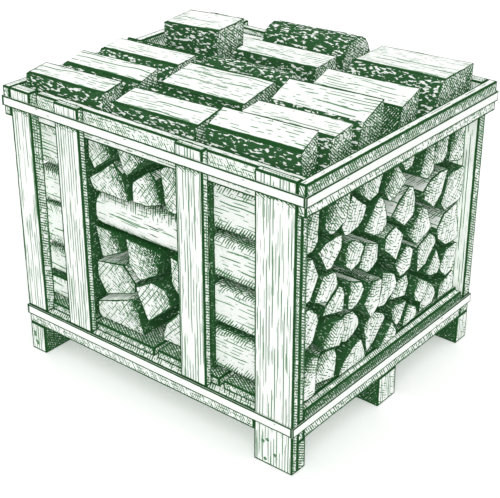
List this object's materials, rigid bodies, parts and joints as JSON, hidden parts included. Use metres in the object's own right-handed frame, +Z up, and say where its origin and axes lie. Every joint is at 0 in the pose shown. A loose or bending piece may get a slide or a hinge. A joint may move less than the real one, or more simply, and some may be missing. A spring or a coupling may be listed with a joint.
{
  "type": "kindling box",
  "caption": "Slatted timber crate on feet, open at both ends, packed with split firewood and topped with loose logs that lift out.",
  "frame": {"origin": "on the floor, under the middle of the crate", "axes": "+Z up, +X along the slatted sides towards the near corner of the picture, -Y out of the slatted side that the picture shows"},
  "size_m": [0.8776, 0.7476, 0.788],
  "materials": {
    "pale_timber": "sawn softwood boards, drawn almost white with dark green grain lines",
    "band_timber": "thin planed battens, almost white, with few lines",
    "split_wood": "split logs: pale cleft faces, dark green bark and stippled end grain"
  },
  "bodies": {
    "crate": {"back_bay_lower_logs": "split_wood", "back_bay_upper_logs": "split_wood", "back_beam": "pale_timber", "back_corner_board": "pale_timber", "back_corner_post": "pale_timber", "back_inner_post": "pale_timber", "back_leg_block": "pale_timber", "back_lower_band": "band_timber", "back_right_foot": "pale_timber", "back_slat_by_narrow_bay": "pale_timber", "back_slat_by_wide_bay": "pale_timber", "back_top_rail": "pale_timber", "back_upper_band": "band_timber", "centre_bearer": "pale_timber", "deck_board_1": "pale_timber", "deck_board_2": "pale_timber", "deck_board_3": "pale_timber", "deck_board_4": "pale_timber", "front_bay_lower_logs": "split_wood", "front_bay_upper_logs": "split_wood", "front_beam": "pale_timber", "front_corner_board": "pale_timber", "front_corner_post": "pale_timber", "front_inner_post": "pale_timber", "front_left_foot": "pale_timber", "front_leg_block": "pale_timber", "front_lower_band": "band_timber", "front_slat_by_narrow_bay": "pale_timber", "front_slat_by_wide_bay": "pale_timber", "front_top_rail": "pale_timber", "front_upper_band": "band_timber", "left_bottom_rail": "pale_timber", "left_end_logs": "split_wood", "left_lower_band": "band_timber", "left_middle_foot": "pale_timber", "left_top_rail": "pale_timber", "left_upper_band": "band_timber", "right_bottom_rail": "pale_timber", "right_end_logs": "split_wood", "right_lower_band": "band_timber", "right_middle_foot": "pale_timber", "right_top_rail": "pale_timber", "right_upper_band": "band_timber"},
    "loose_log_left_1": {"loose_log_left_1": "split_wood"},
    "loose_log_left_2": {"loose_log_left_2": "split_wood"},
    "loose_log_left_3": {"loose_log_left_3": "split_wood"},
    "loose_log_left_4": {"loose_log_left_4": "split_wood"},
    "loose_log_left_5": {"loose_log_left_5": "split_wood"},
    "loose_log_left_6": {"loose_log_left_6": "split_wood"},
    "loose_log_middle_1": {"loose_log_middle_1": "split_wood"},
    "loose_log_middle_2": {"loose_log_middle_2": "split_wood"},
    "loose_log_middle_3": {"loose_log_middle_3": "split_wood"},
    "loose_log_middle_4": {"loose_log_middle_4": "split_wood"},
    "loose_log_middle_5": {"loose_log_middle_5": "split_wood"},
    "loose_log_middle_6": {"loose_log_middle_6": "split_wood"},
    "loose_log_right_1": {"loose_log_right_1": "split_wood"},
    "loose_log_right_2": {"loose_log_right_2": "split_wood"},
    "loose_log_right_3": {"loose_log_right_3": "split_wood"},
    "loose_log_right_4": {"loose_log_right_4": "split_wood"},
    "loose_log_right_5": {"loose_log_right_5": "split_wood"}
  },
  "joints": [
    {"name": "lift_log_left_1", "type": "slide", "parent": "crate", "child": "loose_log_left_1", "axis": [0, 0, 1], "range_m": [0, 0.185]},
    {"name": "lift_log_left_2", "type": "slide", "parent": "crate", "child": "loose_log_left_2", "axis": [0, 0, 1], "range_m": [0, 0.185]},
    {"name": "lift_log_left_3", "type": "slide", "parent": "crate", "child": "loose_log_left_3", "axis": [0, 0, 1], "range_m": [0, 0.185]},
    {"name": "lift_log_left_4", "type": "slide", "parent": "crate", "child": "loose_log_left_4", "axis": [0, 0, 1], "range_m": [0, 0.185]},
    {"name": "lift_log_left_5", "type": "slide", "parent": "crate", "child": "loose_log_left_5", "axis": [0, 0, 1], "range_m": [0, 0.185]},
    {"name": "lift_log_left_6", "type": "slide", "parent": "crate", "child": "loose_log_left_6", "axis": [0, 0, 1], "range_m": [0, 0.185]},
    {"name": "lift_log_middle_1", "type": "slide", "parent": "crate", "child": "loose_log_middle_1", "axis": [0, 0, 1], "range_m": [0, 0.185]},
    {"name": "lift_log_middle_2", "type": "slide", "parent": "crate", "child": "loose_log_middle_2", "axis": [0, 0, 1], "range_m": [0, 0.185]},
    {"name": "lift_log_middle_3", "type": "slide", "parent": "crate", "child": "loose_log_middle_3", "axis": [0, 0, 1], "range_m": [0, 0.185]},
    {"name": "lift_log_middle_4", "type": "slide", "parent": "crate", "child": "loose_log_middle_4", "axis": [0, 0, 1], "range_m": [0, 0.185]},
    {"name": "lift_log_middle_5", "type": "slide", "parent": "crate", "child": "loose_log_middle_5", "axis": [0, 0, 1], "range_m": [0, 0.185]},
    {"name": "lift_log_middle_6", "type": "slide", "parent": "crate", "child": "loose_log_middle_6", "axis": [0, 0, 1], "range_m": [0, 0.185]},
    {"name": "lift_log_right_1", "type": "slide", "parent": "crate", "child": "loose_log_right_1", "axis": [0, 0, 1], "range_m": [0, 0.185]},
    {"name": "lift_log_right_2", "type": "slide", "parent": "crate", "child": "loose_log_right_2", "axis": [0, 0, 1], "range_m": [0, 0.185]},
    {"name": "lift_log_right_3", "type": "slide", "parent": "crate", "child": "loose_log_right_3", "axis": [0, 0, 1], "range_m": [0, 0.185]},
    {"name": "lift_log_right_4", "type": "slide", "parent": "crate", "child": "loose_log_right_4", "axis": [0, 0, 1], "range_m": [0, 0.185]},
    {"name": "lift_log_right_5", "type": "slide", "parent": "crate", "child": "loose_log_right_5", "axis": [0, 0, 1], "range_m": [0, 0.185]}
  ]
}
